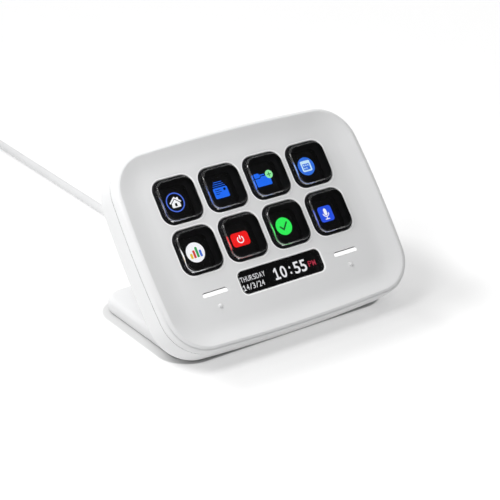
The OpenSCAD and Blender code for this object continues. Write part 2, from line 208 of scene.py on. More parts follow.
WHITE = (0.70, 0.703, 0.707)
M = {
    "shell": finish_of("white_shell", WHITE, 0.4, 0.04, bump=0.12, shade=0.012, spec=0.5),
    # a lighter copy of the white shell, a painted highlight on the rounded rims of the key and window openings
    "rim_highlight": finish_of("white_painted_rim_highlight", (0.93, 0.932, 0.935), 0.3, 0.04, bump=0.05, shade=0.01, spec=0.5),
    "stand": finish_of("white_stand", WHITE, 0.42, 0.04, bump=0.14, shade=0.012, spec=0.5),
    "clear": clear_of("clear_key", (0.97, 0.975, 0.98), 0.012, spec=0.2),
    "window": clear_of("smoked_window", (0.86, 0.865, 0.87), 0.012),
    "mask": finish_of("black_mask", (0.006, 0.006, 0.007), 0.5, 0.06, shade=0.2),
    "border": finish_of("black_border", (0.004, 0.004, 0.005), 0.35, 0.05, shade=0.2, spec=0.12),
    "black": finish_of("black_plastic", (0.012, 0.012, 0.014), 0.55, 0.08, bump=0.3, shade=0.2),
    "silicone": finish_of("black_silicone", (0.01, 0.01, 0.011), 0.62, 0.06, bump=0.2, shade=0.2),
    "bar": lit("light_bar", (1.0, 1.0, 1.0), 1.03),
    "display": finish_of("display_glass", (0.003, 0.003, 0.004), 0.09, 0.03, shade=0.3, spec=0.5),
    "backlight": finish_of("backlight_tray", (0.62, 0.63, 0.65), 0.35, 0.08, metal=0.8, bump=0.1),
    # the dark display frame finish; the same finish is put in the seam grooves of the bezel and rear cover as painted
    # shade
    "frame": finish_of("display_frame_and_seam_shade", (0.05, 0.05, 0.055), 0.45, 0.08, bump=0.3, shade=0.15),
    "film": finish_of("amber_film", (0.42, 0.2, 0.04), 0.3, 0.06, shade=0.2, coat=0.3),
    "steel": finish_of("screw_steel", (0.55, 0.55, 0.57), 0.32, 0.1, metal=1.0, bump=0.25, shade=0.1, stretch=(1, 6, 1)),
    "board": finish_of("circuit_board", (0.02, 0.12, 0.045), 0.38, 0.08, bump=0.3, shade=0.35, coat=0.4, grain=1600),
    "chip": finish_of("chip_package", (0.02, 0.02, 0.022), 0.5, 0.08, bump=0.3, shade=0.2),
    "ivory": finish_of("connector_shell", (0.72, 0.68, 0.55), 0.45, 0.06, bump=0.1, shade=0.08),
    "leads": finish_of("inner_leads", (0.5, 0.05, 0.04), 0.45, 0.08, shade=0.2),
    "jacket": finish_of("lead_jacket", (0.72, 0.723, 0.727), 0.5, 0.05, bump=0.2, bump_scale=1800, shade=0.02, sheen=0.05),
    "boot": finish_of("white_boot", (0.70, 0.703, 0.707), 0.5, 0.05, bump=0.25, shade=0.02),
    "ballast": finish_of("ballast_steel", (0.16, 0.165, 0.175), 0.55, 0.12, metal=0.7, bump=0.8, bump_scale=700, shade=0.3),
    "pad": finish_of("grey_rubber", (0.16, 0.165, 0.17), 0.75, 0.06, bump=0.8, bump_scale=1500, shade=0.15),
    "strap": finish_of("tie_strap", (0.02, 0.02, 0.022), 0.85, 0.05, bump=1.0, bump_scale=3000, shade=0.3, sheen=0.3),
    "plug": finish_of("plug_steel", (0.72, 0.73, 0.75), 0.22, 0.07, metal=1.0, bump=0.1, shade=0.05, stretch=(1, 8, 1)),
    "gold": finish_of("contact_gold", (0.85, 0.6, 0.2), 0.25, 0.05, metal=1.0, shade=0.05),
}


# ---------------------------------------------------------------- mesh building
class Build:
    def __init__(self):
        self.v, self.f, self.m = [], [], []

    def ring(self, points):
        i = len(self.v)
        self.v += points
        return list(range(i, i + len(points)))

    def face(self, f, mat=0):
        self.f.append(tuple(f))
        self.m.append(mat)

    def bridge(self, a, b, mat=0):
        n = len(a)
        for j in range(n):
            self.face((a[j], a[(j + 1) % n], b[(j + 1) % n], b[j]), mat)

    def loft(self, rings, mat=0, ends=(True, True)):
        ids = [self.ring(r) for r in rings]
        for a, b in zip(ids, ids[1:]):
            self.bridge(a, b, mat)
        if ends[0]:
            self.face(ids[0], mat)
        if ends[1]:
            self.face(list(reversed(ids[-1])), mat)
        return ids

    def sheet(self, loops, ids, mat=0):
        """Fills flat loops (an outer one and its holes) whose points are already in the mesh."""
        flat = [i for ring in ids for i in ring]
        for tri in fill(loops):
            self.face([flat[i] for i in tri], mat)


def fill(loops):
    """Triangles over the area inside the first loop and outside the others, as positions in the joined list of points."""
    pts, edges = [], []
    for lp in loops:
        i0, n = len(pts), len(lp)
        pts += [Vector(p) for p in lp]
        edges += [(i0 + i, i0 + (i + 1) % n) for i in range(n)]
    verts, _, faces, origin, _, _ = delaunay_2d_cdt(pts, edges, [], 0, 1e-7)
    first = [o[0] for o in origin]
    segs = [(pts[i], pts[j]) for i, j in edges]
    out = []
    for f in faces:
        cx, cy = sum(verts[i].x for i in f) / 3, sum(verts[i].y for i in f) / 3
        inside = False
        for p, q in segs:
            if (p.y > cy) != (q.y > cy) and cx < (q.x - p.x) * (cy - p.y) / (q.y - p.y) + p.x:
                inside = not inside
        if inside:
            out.append([first[i] for i in f])
    return out


def tidy(me, sharp):
    bm = bmesh.new()
    bm.from_mesh(me)
    bmesh.ops.recalc_face_normals(bm, faces=bm.faces)
    for f in bm.faces:
        f.smooth = True
    for e in bm.edges:
        if len(e.link_faces) == 2 and e.calc_face_angle(0) > math.radians(sharp):
            e.smooth = False
    bm.to_mesh(me)
    bm.free()


def made(name, build, mats, sharp=40):
    me = bpy.data.meshes.new(name)
    me.from_pydata([tuple(p) for p in build.v], [], build.f)
    for m in mats:
        me.materials.append(m)
    for poly, k in zip(me.polygons, build.m):
        poly.material_index = k
    tidy(me, sharp)
    o = bpy.data.objects.new(name, me)
    scene.collection.objects.link(o)
    return o


def weighted(o):
    w = o.modifiers.new("weighted", "WEIGHTED_NORMAL")
    w.keep_sharp = True
    w.weight = 60
    return o


def place(o, slot, *nodes, body="housing"):
    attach(o, body)
    if nodes:
        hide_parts(*nodes)
    return o


def smooth(stops, k, after=None, before=None):
    """Points on a smooth curve through the stops, k to a span."""
    s = [before or stops[0]] + list(stops) + [after or stops[-1]]
    out = []
    for i in range(1, len(s) - 2):
        a, b, c, d = s[i - 1], s[i], s[i + 1], s[i + 2]
        for j in range(k):
            t = j / k
            out.append(tuple(0.5 * (2 * q + (r - p) * t + (2 * p - 5 * q + 4 * r - w) * t * t + (3 * q - p - 3 * r + w) * t ** 3)
                             for p, q, r, w in zip(a, b, c, d)))
    out.append(tuple(stops[-1]))
    return out


def arc(cx, cy, r, a0, a1, n):
    return [(cx + r * math.cos(math.radians(a0 + (a1 - a0) * i / n)), cy + r * math.sin(math.radians(a0 + (a1 - a0) * i / n)))
            for i in range(n)]


def outline(w, h, r, ns=12, nc=20, nt=16):
    """A rounded rectangle whose sides bow outwards a little."""
    ya = h / 2 - r
    xa = w / 2 - SIDE_BOW + math.sqrt((SIDE_BOW - r) ** 2 - ya ** 2)
    cy = h / 2 - TOP_BOW + math.sqrt((TOP_BOW - r) ** 2 - xa ** 2)
    cx = w / 2 - SIDE_BOW + math.sqrt((SIDE_BOW - r) ** 2 - cy ** 2)
    a, b = math.degrees(math.asin(cy / (SIDE_BOW - r))), math.degrees(math.asin(cx / (TOP_BOW - r)))
    return (arc(w / 2 - SIDE_BOW, 0, SIDE_BOW, -a, a, ns) + arc(cx, cy, r, a, 90 - b, nc)
            + arc(0, h / 2 - TOP_BOW, TOP_BOW, 90 - b, 90 + b, nt) + arc(-cx, cy, r, 90 + b, 180 - a, nc)
            + arc(SIDE_BOW - w / 2, 0, SIDE_BOW, 180 - a, 180 + a, ns) + arc(-cx, -cy, r, 180 + a, 270 - b, nc)
            + arc(0, TOP_BOW - h / 2, TOP_BOW, 270 - b, 270 + b, nt) + arc(cx, -cy, r, 270 + b, 360 - a, nc))


def body_ring(ix, iy, r, n):
    return [(x, v + FACE_MID, n) for x, v in outline(FACE_W - 2 * ix, FACE_H - 2 * iy, r)]


def soft(w, h, r, cx=0.0, cy=0.0, k=10, p=2.0):
    """A rounded rectangle, round the corners with exponent p (2 is an arc)."""
    out = []
    for sx, sy, a0 in ((1, 1, 0), (-1, 1, 90), (-1, -1, 180), (1, -1, 270)):
        for i in range(k + 1):
            a = math.radians(a0 + 90 * i / k)
            c, s = math.cos(a), math.sin(a)
            c = math.copysign(abs(c) ** (2 / p), c) if abs(c) > 1e-9 else 0.0
            s = math.copysign(abs(s) ** (2 / p), s) if abs(s) > 1e-9 else 0.0
            q = (cx + sx * (w / 2 - r) + r * c, cy + sy * (h / 2 - r) + r * s)
            if not out or math.dist(out[-1], q) > 1e-6:
                out.append(q)
    if math.dist(out[0], out[-1]) < 1e-6:
        out.pop()
    return out


def circle(r, cx=0.0, cy=0.0, k=32, a0=0.0):
    return [(cx + r * math.cos(2 * math.pi * i / k + a0), cy + r * math.sin(2 * math.pi * i / k + a0)) for i in range(k)]


def lifted(loop, n):
    return [F(x, v, n) for x, v in loop]


def turned(b, profile, cx, cv, mat=0, k=32, frame_of=F, closed=False):
    """Turns a profile of (radius, level) about a line out of the face. Radius 0 at either end closes it."""
    rings = []
    for r, n in profile:
        if r < 1e-6:
            rings.append(b.ring([frame_of(cx, cv, n)]))
        else:
            rings.append(b.ring([frame_of(x, y, n) for x, y in circle(r, cx, cv, k)]))
    pairs = list(zip(rings, rings[1:])) + ([(rings[-1], rings[0])] if closed else [])
    for p, q in pairs:
        if len(p) == 1 and len(q) == 1:
            continue
        if len(p) == 1:
            for j in range(k):
                b.face((p[0], q[(j + 1) % k], q[j]), mat)
        elif len(q) == 1:
            for j in range(k):
                b.face((p[j], p[(j + 1) % k], q[0]), mat)
        else:
            b.bridge(p, q, mat)
    return rings


# ---------------------------------------------------------------- front bezel
KEYS = [((i - 1.5) * PITCH, (0.5 - j) * PITCH) for j in (0, 1) for i in range(4)]
R = CORNER
RIM = [(0.0, 0.0, R, -0.1), (0.25, 0.22, R, 0.75), (0.82, 0.57, R - 0.45, 1.57), (1.62, 1.08, R - 1, 2.17), (2.55, 1.65, R - 1.65, 2.43),
       (2.95, 1.9, R - 1.95, 2.36), (3.45, 2.25, R - 2.2, 2.2), (4.7, 3.15, R - 3.15, 1.74), (6.1, 4.15, R - 4.15, 1.27), (7.7, 5.35, R - 5.2, 0.79),
       (9.5, 6.8, R - 6.3, 0.35), (11.6, 8.5, R - 7.3, 0.07), (13.2, 10.2, R - 8.1, 0.0)]
UNDER = [(13.2, 10.2, R - 8.1, -1.2), (8.2, 7.2, R - 6, -0.9), (5.2, 4.2, R - 4, -0.1), (3.2, 2.6, R - 2.6, 0.7),
         (1.6, 1.6, R - 1.6, 0.2), (1.6, 1.6, R - 1.6, SEAM_N)]


def opening(w, h, r, cx, cv, f, steps, p=2.0, k=10, collar=0.0):
    """Rings of a rounded-over opening, from the face down to the plate's back."""
    rings = []
    if collar:
        rings.append((soft(w + 2 * (f + collar), h + 2 * (f + collar), r + f + collar, cx, cv, k, p), 0.0))
    for i in range(steps + 1):
        t = math.radians(90 * i / steps)
        o, n = f * (1 - math.sin(t)), -f * (1 - math.cos(t))
        rings.append((soft(w + 2 * o, h + 2 * o, r + o, cx, cv, k, p), n))
    rings.append((soft(w, h, r, cx, cv, k, p), -1.2))
    return rings


def front_bezel():
    b = Build()
    seam = [(0.42, 0.42, R - 0.3, SEAM_N), (0.38, 0.38, R - 0.3, SEAM_N + 0.02), (0.36, 0.36, R - 0.3, SEAM_N + 0.055), (0.05, 0.05, R, SEAM_N + 0.055),
            (0.0, 0.0, R, SEAM_N + 0.12)]
    rim = smooth(RIM, 5, after=(15.2, 12.2, R - 8.9, 0.06), before=(0.0, 0.0, R, -0.8))
    rows = [body_ring(*s) for s in seam + rim + UNDER]
    # a fine line round the outside of the lip, that fades out up the two short sides
    at = len(seam) + next(i for i, s in enumerate(rim) if s[0] > 1.1)
    a, c = rim[at - len(seam) - 1], rim[at - len(seam) + 1]
    cut = []
    for k, deep in ((0.08, 0.0), (0.12, 0.3), (0.88, 0.3), (0.92, 0.0)):
        fade = [min(1.0, max(0.0, (-20.0 - v) / 15.0)) for _, v, _ in rows[0]]
        cut.append([(x, v, n - deep * (0.03 + 0.97 * f)) for (x, v, n), f in zip(body_ring(*(p + (q - p) * k for p, q in zip(a, c))), fade)])
    rows[at:at + 1] = cut
    ids = [b.ring([F(*p) for p in row]) for row in rows]
    top = len(seam) + len(rim) + 2
    # the seam groove faces take the dark frame finish, a painted shade in the seam
    for i in range(len(ids)):
        if i != top:
            b.bridge(ids[i], ids[(i + 1) % len(ids)], 2 if i < 3 else 0)
    floor_loop = [(x, v) for x, v, _ in body_ring(*rim[-1])]
    back_loop = [(x, v) for x, v, _ in body_ring(*UNDER[0])]
    tops, tops_i, lows, lows_i = [floor_loop], [ids[top]], [back_loop], [ids[top + 1]]
    holes = [opening(KEY_W + 2 * KEY_GAP, KEY_W + 2 * KEY_GAP, KEY_R + KEY_GAP, x, v, 0.45, 4, 2.12, collar=0.25) for x, v in KEYS]
    holes.append(opening(INFO_W + 0.1, INFO_H + 0.1, 2.25, 0, INFO_V, 0.3, 3, collar=0.25))
    holes += [opening(BAR_W, BAR_H, BAR_H / 2 - 0.001, s * BAR_X, INFO_V - 0.15, 0.15, 3) for s in (-1, 1)]
    for rings in holes:
        made_ids = [b.ring(lifted(lp, n)) for lp, n in rings]
        # the collars and rounded rims of the key and window openings take the lighter white, a painted highlight
        for i, (p, q) in enumerate(zip(made_ids, made_ids[1:])):
            b.bridge(p, q, 1 if i < len(rings) - 2 and rings[0][1] == rings[1][1] else 0)
        tops.append(rings[0][0])
        tops_i.append(made_ids[0])
        lows.append(rings[-1][0])
        lows_i.append(made_ids[-1])
    for s in (-1, 1):
        # a nub: a small dome with a soft foot
        dome = [(0.98, 0.0), (0.9, 0.015), (0.85, 0.07), (0.82, 0.18)] + [
            (0.82 * math.cos(math.radians(a)), 0.18 + 0.62 * math.sin(math.radians(a))) for a in (14, 28, 42, 56, 70, 80)] + [(0.0, 0.8)]
        rings = turned(b, dome, s * BAR_X, NUB_V, k=28)
        tops.append(circle(0.98, s * BAR_X, NUB_V, 28))
        tops_i.append(rings[0])
    b.sheet(tops, tops_i)
    b.sheet(lows, lows_i)
    for sx in (-1, 1):
        for v in POST_V:
            turned(b, [(0.0, -2.6), (0.83, -2.6), (0.83, -7.9), (0.93, -8.0), (2.3, -8.0), (2.4, -7.9), (2.4, -0.3), (0.0, -0.3)], sx * POST_X, v, k=24)
        for v in (5.0, -21.0):
            turned(b, [(0.0, -2.6), (0.68, -2.6), (0.68, -6.87), (0.76, -6.95), (1.9, -6.95), (2.0, -6.85), (2.0, -0.8), (0.0, -0.8)], sx * 42.6, v, k=24)
    return b


bezel = weighted(made("bezel_shell", front_bezel(), [M["shell"], M["rim_highlight"], M["frame"]]))
place(bezel, "white_shell", "front_bezel")


# ---------------------------------------------------------------- rear cover
def rear_cover():
    b = Build()
    low = SEAM_N - 0.1
    wall_n = -BACK_N + BACK_R
    outer = [(0.42, R - 0.3, low), (0.38, R - 0.3, low - 0.02), (0.36, R - 0.3, low - 0.055), (0.05, R, low - 0.055), (0.0, R, low - 0.12)]
    outer += [(0.0, R, low - 0.12 + (wall_n - low + 0.12) * i / 4) for i in (1, 2, 3, 4)]
    for i in range(1, 15):
        a = math.radians(90 * i / 14)
        d = BACK_R * (1 - math.cos(a))
        outer.append((d, R - d, wall_n - BACK_R * math.sin(a)))
    ri = BACK_R - WALL
    inner = [(WALL, R - WALL, low), (WALL, R - WALL, wall_n)]
    for i in range(1, 9):
        a = math.radians(90 * i / 8)
        d = WALL + ri * (1 - math.cos(a))
        inner.append((d, R - d, wall_n - ri * math.sin(a)))
    ids_o = [b.ring([F(*p) for p in body_ring(d, d, r, n)]) for d, r, n in outer]
    ids_i = [b.ring([F(*p) for p in body_ring(d, d, r, n)]) for d, r, n in inner]
    # the seam groove faces of the outer wall take the dark frame finish, a painted shade in the seam
    for ids in (ids_o, ids_i):
        for i, (p, q) in enumerate(zip(ids, ids[1:])):
            b.bridge(p, q, 1 if ids is ids_o and i < 3 else 0)
    b.bridge(ids_o[0], ids_i[0])
    loops_o = [[(x, v) for x, v, _ in body_ring(outer[-1][0], outer[-1][0], outer[-1][1], 0)]]
    loops_i = [[(x, v) for x, v, _ in body_ring(inner[-1][0], inner[-1][0], inner[-1][1], 0)]]
    at_o, at_i = [ids_o[-1]], [ids_i[-1]]
    cut_n = -BACK_N + WALL
    bores = [(s * POST_X, v, 2.1, 0.12) for s in (-1, 1) for v in POST_V] + [(s * STAND_X, STAND_V, 0.98, 0.0) for s in (-1, 1)] + [(0.0, EXIT_V, 2.6, 0.0)]
    for x, v, r, f in bores:
        k = 40
        rings = [b.ring(lifted(circle(r + f, x, v, k), -BACK_N))]
        if f:
            rings.append(b.ring(lifted(circle(r + 0.03, x, v, k), -BACK_N + 0.04)))
            rings.append(b.ring(lifted(circle(r, x, v, k), -BACK_N + f)))
        rings.append(b.ring(lifted(circle(r, x, v, k), cut_n)))
        for p, q in zip(rings, rings[1:]):
            b.bridge(p, q)
        loops_o.append(circle(r + f, x, v, k))
        at_o.append(rings[0])
        loops_i.append(circle(r, x, v, k))
        at_i.append(rings[-1])
    b.sheet(loops_o, at_o)
    b.sheet(loops_i, at_i)
    for s in (-1, 1):
        for v in POST_V:
            turned(b, [(1.15, -13.5), (2.12, -13.5), (2.12, -13.7), (3.0, -13.7), (3.0, -8.2), (2.9, -8.1), (1.25, -8.1), (1.15, -8.2)], s * POST_X, v, k=32, closed=True)
        turned(b, [(0.0, -9.4), (0.98, -9.4), (0.98, -13.7), (2.6, -13.7), (2.6, -8.8), (2.5, -8.7), (0.0, -8.7)], s * STAND_X, STAND_V, k=32)
    turned(b, [(2.6, -13.7), (5.0, -13.7), (5.0, -12.9), (4.9, -12.8), (2.6, -12.8)], 0, EXIT_V, k=40, closed=True)
    return b


cover = weighted(made("rear_shell", rear_cover(), [M["shell"], M["frame"]]))
place(cover, "white_shell", "rear_cover")


# ---------------------------------------------------------------- stand foot
def foot_ring(inset, z, k=14):
    w, d = FOOT_W - 2 * inset, FOOT_BACK - FOOT_FRONT - 2 * inset
    return [P(x, y + (FOOT_BACK + FOOT_FRONT) / 2, z) for x, y in soft(w, d, 7.5 - 0.9 * inset, k=k)]


def boolean(o, cutter, how):
    mod = o.modifiers.new("cut", "BOOLEAN")
    mod.object, mod.operation, mod.solver = cutter, how, "EXACT"
    applied(o)
    bpy.data.objects.remove(cutter)


def applied(o):
    """Applies every modifier on o to its mesh."""
    bpy.context.view_layer.update()
    dg = bpy.context.evaluated_depsgraph_get()
    me = bpy.data.meshes.new_from_object(o.evaluated_get(dg), depsgraph=dg)
    o.modifiers.clear()
    o.data = me


def stand_foot():
    b = Build()
    levels = [(0.6, 0.4), (0.18, 0.5), (0.0, 0.8), (0.0, 2.2), (0.0, 3.7)]
    for i in range(1, 9):
        a = math.radians(90 * i / 8)
        levels.append((2.0 * (1 - math.cos(a)), 3.7 + 2.1 * math.sin(a)))
    ids = [b.ring(foot_ring(i, z)) for i, z in levels]
    for p, q in zip(ids, ids[1:]):
        b.bridge(p, q)
    b.face(list(reversed(ids[-1])))
    under = [(p.x, p.y) for p in foot_ring(*levels[0])]

    def well(w, d, r, z):
        return [P(x, y, z) for x, y in soft(w, d, r, 0, 6, 10)]

    wells = [well(86.4, 46.4, 6.2, 0.4), well(86.4, 46.4, 6.2, 0.75), well(80.4, 40.4, 3.2, 0.75), well(80.4, 40.4, 3.2, 3.7)]
    wi = [b.ring(w) for w in wells]
    for p, q in zip(wi, wi[1:]):
        b.bridge(p, q)
    b.face(wi[-1])
    b.sheet([[(x * 1000, y * 1000) for x, y in under], [(p.x * 1000, p.y * 1000) for p in wells[0]]], [ids[0], wi[0]])
    foot = made("stand_shell", b, [M["stand"]])
    # the tongue that lies against the back of the body, with its gusset down to the foot
    t = Build()

    def side(v, n):
        p = F(0, v, n)
        return (p.y * 1000, p.z * 1000)

    heel = side(-36.2, -BACK_N - 3)
    poly = [side(-42, -BACK_N + 1), side(-25, -BACK_N + 1), side(-25, -BACK_N - 2), side(-26, -BACK_N - 3), heel,
            (heel[0] + 1.6, heel[1] - 3.4), (heel[0] + 7, FOOT_TOP - 0.2), (2, FOOT_TOP - 1.5), (-14, 1.5)]
    t.loft([[P(x, y, z) for y, z in poly] for x in (-TONGUE_W / 2, TONGUE_W / 2)])
    tongue = made("tongue", t, [M["stand"]])
    bev = tongue.modifiers.new("round", "BEVEL")
    bev.width, bev.segments, bev.limit_method, bev.angle_limit = 0.0009, 4, "ANGLE", math.radians(20)
    applied(tongue)
    boolean(foot, tongue, "UNION")
    s = Build()
    g = 0.08
    rings = []
    for i in range(14, -1, -1):
        a = math.radians(90 * i / 14)
        d = BACK_R * (1 - math.cos(a))
        rings.append([F(*p) for p in body_ring(d - g * math.cos(a), d - g * math.cos(a), R - d, -BACK_N + BACK_R - (BACK_R + g) * math.sin(a))])
    rings.append([F(*p) for p in body_ring(-g, -g, R, SEAM_N - 0.1)])
    s.loft(rings)
    boolean(foot, made("body_solid", s, [M["stand"]]), "DIFFERENCE")
    for sx in (-1, 1):
        c = Build()
        turned(c, [(0.0, -30), (2.3, -30), (2.3, -BACK_N - 3.05), (2.15, -BACK_N - 2.8), (2.15, -BACK_N - 1.4), (1.15, -BACK_N - 1.4), (1.15, -10), (0.0, -10)],
               sx * STAND_X, STAND_V, k=32)
        boolean(foot, made("bore", c, [M["stand"]]), "DIFFERENCE")
    foot.data.materials.clear()
    foot.data.materials.append(M["stand"])
    tidy(foot.data, 32)
    return foot


foot = weighted(stand_foot())
place(foot, "white_shell", "stand_foot")


def foot_pad():
    b = Build()

    def ring(i, z):
        return [P(x, y, z) for x, y in soft(86 - 2 * i, 46 - 2 * i, 6 - i * 0.8, 0, 6, 10)]

    rows = [(3.4, 0.16), (3.2, 0.0), (2.9, 0.0), (2.2, 0.0), (2.0, 0.16), (1.7, 0.16), (1.5, 0.0), (0.5, 0.0), (0.15, 0.08), (0.0, 0.25), (0.0, 0.6), (0.12, 0.72)]
    b.loft([ring(i, z) for i, z in rows])
    for j in range(-4, 5):
        # raised grip ribs inside the border
        b.loft([[P(x, y, z) for x, y in soft(76 - 2 * i, 1.9 - 2 * i, 0.9 - i, 0, 6 + 4.2 * j, 6)] for i, z in ((0.25, 0.0), (0.05, 0.05), (0.0, 0.2))])
    return b


pad = weighted(made("grip_pad", foot_pad(), [M["pad"]]))
place(pad, "grey_rubber", "foot_pad")


# ---------------------------------------------------------------- keys
def key_cap(cx, cv):
    """A black border flush with the dish and a clear cushion with a rounded edge standing over it."""
    b = Build()

    def lp(o, r=KEY_R, k=12):
        return soft(KEY_W - 2 * o, KEY_W - 2 * o, r - o, cx, cv, k, 2.12)

    def tile(o, k=12):
        return soft(KEY_TOP - 2 * o, KEY_TOP - 2 * o, KEY_R - 0.6 - 0.8 * o, cx, cv, k, 2.12)

    # the border is printed in a little way under the cap too, and hides the spring ring
    rows = [(soft(12.3, 12.9, 2.6, cx - 1.15, cv - 0.85, 12, 2.12), -2.0), (lp(-0.5, KEY_R + 0.1), -2.0), (lp(-0.6), -1.9), (lp(-0.6), -1.4), (lp(-0.5), -1.3), (lp(0.0), -1.3), (lp(0.0), -1.0), (lp(0.0), KEY_LOW - 0.25)]
    for i in range(1, 6):
        a = math.radians(90 * i / 5)
        rows.append((lp(0.25 * (1 - math.cos(a))), KEY_LOW - 0.25 + 0.25 * math.sin(a)))
    rows += [(tile(-0.06), KEY_LOW), (tile(0.0), KEY_LOW + 0.03), (tile(0.0), KEY_UP - KEY_EDGE)]
    border = len(rows) - 2
    for i in range(1, 13):
        a = math.radians(90 * i / 12)
        rows.append((tile(KEY_EDGE * (1 - math.cos(a))), KEY_UP - KEY_EDGE + KEY_EDGE * math.sin(a)))
    ids = [b.ring(lifted(l, n)) for l, n in rows]
    for i, (p, q) in enumerate(zip(ids, ids[1:])):
        b.bridge(p, q, 1 if i < border - 1 else 0)
    b.face(ids[0], 0)
    b.face(list(reversed(ids[-1])), 0)
    return b


for i, (x, v) in enumerate(KEYS):
    cap = weighted(made(f"key_cap_{i + 1}", key_cap(x, v), [M["clear"], M["border"]], 50))
    place(cap, "clear_key", f"key_{i + 1}", body=f"key_{i + 1}_cap")

# the ring springs under the caps
for i, (x, v) in enumerate(KEYS):
    b = Build()
    out, hole = PITCH - 0.9, 14.5
    rows = [(soft(hole, hole, 2, x, v, 8), -3.0), (soft(hole + 0.1, hole + 0.1, 2.05, x, v, 8), -3.08), (soft(out - 0.1, out - 0.1, 5.1, x, v, 8), -3.08),
            (soft(out, out, 5.15, x, v, 8), -3.0), (soft(out - 0.5, out - 0.5, 4.95, x, v, 8), -2.2), (soft(out - 0.9, out - 0.9, 4.8, x, v, 8), -2.05),
            (soft(hole + 0.9, hole + 0.9, 2.4, x, v, 8), -2.05), (soft(hole + 0.4, hole + 0.4, 2.2, x, v, 8), -2.2)]
    ids = [b.ring(lifted(l, n)) for l, n in rows]
    for p, q in zip(ids, ids[1:] + ids[:1]):
        b.bridge(p, q)
    spring = made(f"spring_ring_{i + 1}", b, [M["silicone"]], 50)
    place(spring, "silicone", "spring_rings")
    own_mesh(spring)


# ---------------------------------------------------------------- windows
def pane(w, h, r, cv, n0, n1, flange, step, f, cx=0.0, k=10, crown=0.0, sides=0):
    b = Build()
    fw, fh, fr = flange
    rows = [(soft(fw, fh, fr, cx, cv, k), n0), (soft(fw, fh, fr, cx, cv, k), step), (soft(w, h, r, cx, cv, k), step), (soft(w, h, r, cx, cv, k), n1 - f)]
    for i in range(1, 5):
        a = math.radians(90 * i / 4)
        o = f * (1 - math.cos(a))
        rows.append((soft(w - 2 * o, h - 2 * o, r - o, cx, cv, k), n1 - f + f * math.sin(a)))
    if crown:
        o = min(w, h) * 0.3
        rows.append((soft(w - 2 * o, h - 2 * o, r - o, cx, cv, k), n1 + crown))
    ids = b.loft([lifted(l, n) for l, n in rows])
    for j in range(3 * len(ids[0])):
        b.m[j] = sides
    return b


window = weighted(made("info_pane", pane(INFO_W, INFO_H, 2.2, INFO_V, -1.75, -0.05, (INFO_W + 1.6, INFO_H + 1.6, 2.8), -1.25, 0.3), [M["window"]], 50))
place(window, "dark_window", "info_window")
for side, name in ((-1, "left"), (1, "right")):
    bar = weighted(made(f"light_bar_{name}", pane(BAR_W - 0.15, BAR_H - 0.43, 0.62, INFO_V - 0.28, -1.6, -0.14, (BAR_W + 1.6, BAR_H + 1.5, 1.2), -1.22, 0.1,
                                                  side * BAR_X, crown=0.03, sides=1), [M["bar"], M["shell"]], 60))
    place(bar, "diffuser", f"light_window_{name}")


# ---------------------------------------------------------------- what the displays show
SHOW = {}


def colour(r, g, b, strength=1.0):
    key = (r, g, b, strength)
    if key not in SHOW:
        SHOW[key] = lit(f"lit_{r}_{g}_{b}", linear((r / 255, g / 255, b / 255)), strength)
    return SHOW[key]


def bow(cx, cy, r0, r1, a0, a1, k=18):
    """Part of a flat ring, with square ends."""
    out = [(cx + r1 * math.cos(math.radians(a0 + (a1 - a0) * i / k)), cy + r1 * math.sin(math.radians(a0 + (a1 - a0) * i / k))) for i in range(k + 1)]
    return out + [(cx + r0 * math.cos(math.radians(a1 - (a1 - a0) * i / k)), cy + r0 * math.sin(math.radians(a1 - (a1 - a0) * i / k))) for i in range(k + 1)]


def stroke(points, w):
    """A thick line along points, with round ends."""
    left, right = [], []
    n = len(points)
    for i, (x, y) in enumerate(points):
        x0, y0 = points[max(i - 1, 0)]
        x1, y1 = points[min(i + 1, n - 1)]
        if 0 < i < n - 1:
            d0, d1 = math.hypot(x - x0, y - y0), math.hypot(x1 - x, y1 - y)
            ux, uy = (x - x0) / d0, (y - y0) / d0
            wx, wy = (x1 - x) / d1, (y1 - y) / d1
            tx, ty = ux + wx, uy + wy
            t = math.hypot(tx, ty)
            tx, ty = tx / t, ty / t
            m = w / 2 / max(0.3, tx * ux + ty * uy)
        else:
            t = math.hypot(x1 - x0, y1 - y0)
            tx, ty, m = (x1 - x0) / t, (y1 - y0) / t, w / 2
        left.append((x - ty * m, y + tx * m))
        right.append((x + ty * m, y - tx * m))
    a1 = math.atan2(points[-1][1] - points[-2][1], points[-1][0] - points[-2][0])
    a0 = math.atan2(points[0][1] - points[1][1], points[0][0] - points[1][0])
    end = [(points[-1][0] + w / 2 * math.cos(a1 - math.pi / 2 + math.pi * i / 6), points[-1][1] + w / 2 * math.sin(a1 - math.pi / 2 + math.pi * i / 6)) for i in range(1, 6)]
    start = [(points[0][0] + w / 2 * math.cos(a0 - math.pi / 2 + math.pi * i / 6), points[0][1] + w / 2 * math.sin(a0 - math.pi / 2 + math.pi * i / 6)) for i in range(1, 6)]
    return right + end + list(reversed(left)) + start


def picture(name, layers, cx, cv):
    """Flat lit shapes just over the display's face. A layer is (colour, level, [outer loop, holes...])."""
    b, mats = Build(), []
    for mat, level, loops in layers:
        if mat not in mats:
            mats.append(mat)
        k = mats.index(mat)
        n0, n1 = LCD_N + 0.004 + 0.012 * level, LCD_N + 0.014 + 0.012 * level
        loops = [[(x + cx, y + cv) for x, y in lp] for lp in loops]
        low = [b.ring(lifted(lp, n0)) for lp in loops]
        top = [b.ring(lifted(lp, n1)) for lp in loops]
        for p, q in zip(low, top):
            b.bridge(p, q, k)
        b.sheet(loops, low, k)
        b.sheet(loops, top, k)
    o = made(name, b, mats, 30)
    place(o, "display_glass")
    return o


WHT, BLU = colour(252, 252, 255), colour(20, 108, 248)


